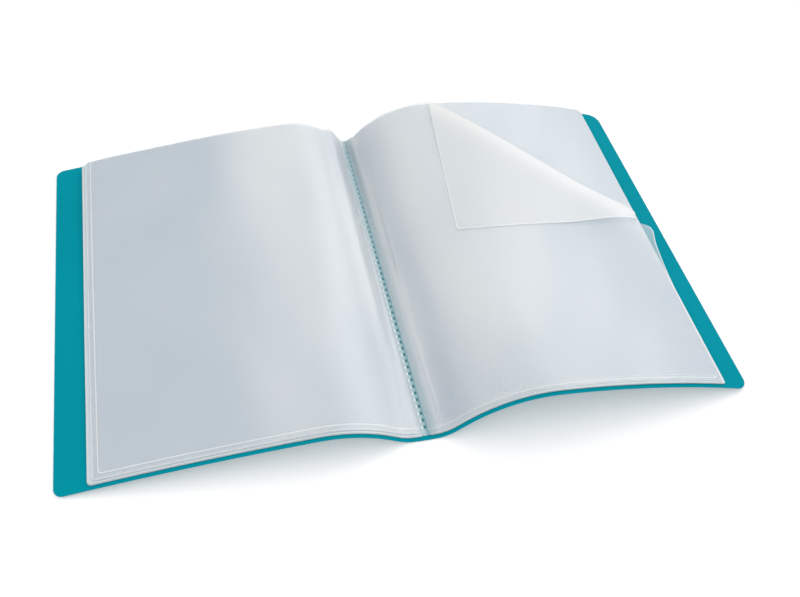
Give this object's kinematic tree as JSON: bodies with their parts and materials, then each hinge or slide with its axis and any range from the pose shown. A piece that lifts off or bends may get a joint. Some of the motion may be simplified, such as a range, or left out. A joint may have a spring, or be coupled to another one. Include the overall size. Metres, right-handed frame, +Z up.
{
  "type": "clear pocket display book",
  "caption": "Display book lying open: a creased plastic cover with a stack of clear pockets welded into its spine on each side, the top right pocket's corner turned over.",
  "frame": {"origin": "the middle of the spine's underside, on the surface that the open book lies on", "axes": "+X to the right across the open book, +Y along the spine from foot to head, +Z up"},
  "size_m": [0.4626, 0.31, 0.0359],
  "materials": {
    "cover_sheet": "fine matte emboss",
    "gutter_weld": "fused, pressed marks",
    "pocket_film": "milky translucent film"
  },
  "bodies": {
    "spine": {"spine_panel": "cover_sheet", "gutter_weld": "gutter_weld"},
    "front_cover": {"front_cover": "cover_sheet"},
    "back_cover": {"back_cover": "cover_sheet"},
    "pocket_01": {"pocket_01_front_film": "pocket_film", "pocket_01_back_film": "pocket_film"},
    "pocket_02": {"pocket_02_front_film": "pocket_film", "pocket_02_back_film": "pocket_film"},
    "pocket_03": {"pocket_03_front_film": "pocket_film", "pocket_03_back_film": "pocket_film"},
    "pocket_04": {"pocket_04_front_film": "pocket_film", "pocket_04_back_film": "pocket_film"},
    "pocket_05": {"pocket_05_front_film": "pocket_film", "pocket_05_back_film": "pocket_film"},
    "pocket_06": {"pocket_06_front_film": "pocket_film", "pocket_06_back_film": "pocket_film"},
    "pocket_07": {"pocket_07_front_film": "pocket_film", "pocket_07_back_film": "pocket_film"},
    "pocket_08": {"pocket_08_front_film": "pocket_film", "pocket_08_back_film": "pocket_film"},
    "pocket_09": {"pocket_09_front_film": "pocket_film", "pocket_09_back_film": "pocket_film"},
    "pocket_10": {"pocket_10_front_film": "pocket_film", "pocket_10_back_film": "pocket_film"},
    "pocket_11": {"pocket_11_front_film": "pocket_film", "pocket_11_back_film": "pocket_film"},
    "pocket_12": {"pocket_12_front_film": "pocket_film", "pocket_12_back_film": "pocket_film"},
    "pocket_13": {"pocket_13_front_film": "pocket_film", "pocket_13_back_film": "pocket_film"},
    "pocket_14": {"pocket_14_front_film": "pocket_film", "pocket_14_back_film": "pocket_film"},
    "pocket_15": {"pocket_15_front_film": "pocket_film", "pocket_15_back_film": "pocket_film"},
    "pocket_16": {"pocket_16_front_film": "pocket_film", "pocket_16_back_film": "pocket_film"},
    "pocket_17": {"pocket_17_front_film": "pocket_film", "pocket_17_back_film": "pocket_film"},
    "pocket_18": {"pocket_18_front_film": "pocket_film", "pocket_18_back_film": "pocket_film"},
    "pocket_19": {"pocket_19_front_film": "pocket_film", "pocket_19_back_film": "pocket_film"},
    "pocket_20": {"pocket_20_front_film": "pocket_film", "pocket_20_back_film": "pocket_film"},
    "pocket_11_corner": {"pocket_11_corner_front_film": "pocket_film", "pocket_11_corner_back_film": "pocket_film"}
  },
  "joints": [
    {"name": "front_cover_fold", "type": "hinge", "parent": "spine", "child": "front_cover", "pos_m": [-0.006, 0, 0.0008], "axis": [0, 1, 0], "range_deg": [0, 48]},
    {"name": "back_cover_fold", "type": "hinge", "parent": "spine", "child": "back_cover", "pos_m": [0.006, 0, 0.0008], "axis": [0, 1, 0], "range_deg": [-48, 0]},
    {"name": "pocket_01_turn", "type": "hinge", "parent": "spine", "child": "pocket_01", "pos_m": [-0.00315, 0, 0.0014], "axis": [0, 1, 0], "range_deg": [0, 48]},
    {"name": "pocket_20_turn", "type": "hinge", "parent": "spine", "child": "pocket_20", "pos_m": [0.00315, 0, 0.0014], "axis": [0, 1, 0], "range_deg": [-48, 0]},
    {"name": "pocket_02_turn", "type": "hinge", "parent": "pocket_01", "child": "pocket_02", "pos_m": [-0.00315, 0, 0.0019], "axis": [0, 1, 0], "range_deg": [0, 3]},
    {"name": "pocket_19_turn", "type": "hinge", "parent": "pocket_20", "child": "pocket_19", "pos_m": [0.00315, 0, 0.0019], "axis": [0, 1, 0], "range_deg": [-3, 0]},
    {"name": "pocket_03_turn", "type": "hinge", "parent": "pocket_02", "child": "pocket_03", "pos_m": [-0.00315, 0, 0.0024], "axis": [0, 1, 0], "range_deg": [0, 3]},
    {"name": "pocket_18_turn", "type": "hinge", "parent": "pocket_19", "child": "pocket_18", "pos_m": [0.00315, 0, 0.0024], "axis": [0, 1, 0], "range_deg": [-3, 0]},
    {"name": "pocket_04_turn", "type": "hinge", "parent": "pocket_03", "child": "pocket_04", "pos_m": [-0.00315, 0, 0.0029], "axis": [0, 1, 0], "range_deg": [0, 3]},
    {"name": "pocket_17_turn", "type": "hinge", "parent": "pocket_18", "child": "pocket_17", "pos_m": [0.00315, 0, 0.0029], "axis": [0, 1, 0], "range_deg": [-3, 0]},
    {"name": "pocket_05_turn", "type": "hinge", "parent": "pocket_04", "child": "pocket_05", "pos_m": [-0.00315, 0, 0.0034], "axis": [0, 1, 0], "range_deg": [0, 3]},
    {"name": "pocket_16_turn", "type": "hinge", "parent": "pocket_17", "child": "pocket_16", "pos_m": [0.00315, 0, 0.0034], "axis": [0, 1, 0], "range_deg": [-3, 0]},
    {"name": "pocket_06_turn", "type": "hinge", "parent": "pocket_05", "child": "pocket_06", "pos_m": [-0.00315, 0, 0.0039], "axis": [0, 1, 0], "range_deg": [0, 3]},
    {"name": "pocket_15_turn", "type": "hinge", "parent": "pocket_16", "child": "pocket_15", "pos_m": [0.00315, 0, 0.0039], "axis": [0, 1, 0], "range_deg": [-3, 0]},
    {"name": "pocket_07_turn", "type": "hinge", "parent": "pocket_06", "child": "pocket_07", "pos_m": [-0.00315, 0, 0.0044], "axis": [0, 1, 0], "range_deg": [0, 3]},
    {"name": "pocket_14_turn", "type": "hinge", "parent": "pocket_15", "child": "pocket_14", "pos_m": [0.00315, 0, 0.0044], "axis": [0, 1, 0], "range_deg": [-3, 0]},
    {"name": "pocket_08_turn", "type": "hinge", "parent": "pocket_07", "child": "pocket_08", "pos_m": [-0.00315, 0, 0.0049], "axis": [0, 1, 0], "range_deg": [0, 3]},
    {"name": "pocket_13_turn", "type": "hinge", "parent": "pocket_14", "child": "pocket_13", "pos_m": [0.00315, 0, 0.0049], "axis": [0, 1, 0], "range_deg": [-3, 0]},
    {"name": "pocket_09_turn", "type": "hinge", "parent": "pocket_08", "child": "pocket_09", "pos_m": [-0.00315, 0, 0.0054], "axis": [0, 1, 0], "range_deg": [0, 3]},
    {"name": "pocket_12_turn", "type": "hinge", "parent": "pocket_13", "child": "pocket_12", "pos_m": [0.00315, 0, 0.0054], "axis": [0, 1, 0], "range_deg": [-3, 0]},
    {"name": "pocket_10_turn", "type": "hinge", "parent": "pocket_09", "child": "pocket_10", "pos_m": [-0.00315, 0, 0.0059], "axis": [0, 1, 0], "range_deg": [0, 13]},
    {"name": "pocket_11_turn", "type": "hinge", "parent": "pocket_12", "child": "pocket_11", "pos_m": [0.00315, 0, 0.0059], "axis": [0, 1, 0], "range_deg": [-13, 0]},
    {"name": "corner_turn", "type": "hinge", "parent": "pocket_11", "child": "pocket_11_corner", "pos_m": [0.1393, 0.077, 0.02878], "axis": [-0.6906, 0.7145, 0.1121], "range_deg": [0, 110]}
  ],
  "couplings": [
    {"joint": "pocket_01_turn", "follows": "front_cover_fold", "ratio": 1},
    {"joint": "pocket_20_turn", "follows": "back_cover_fold", "ratio": 1}
  ]
}
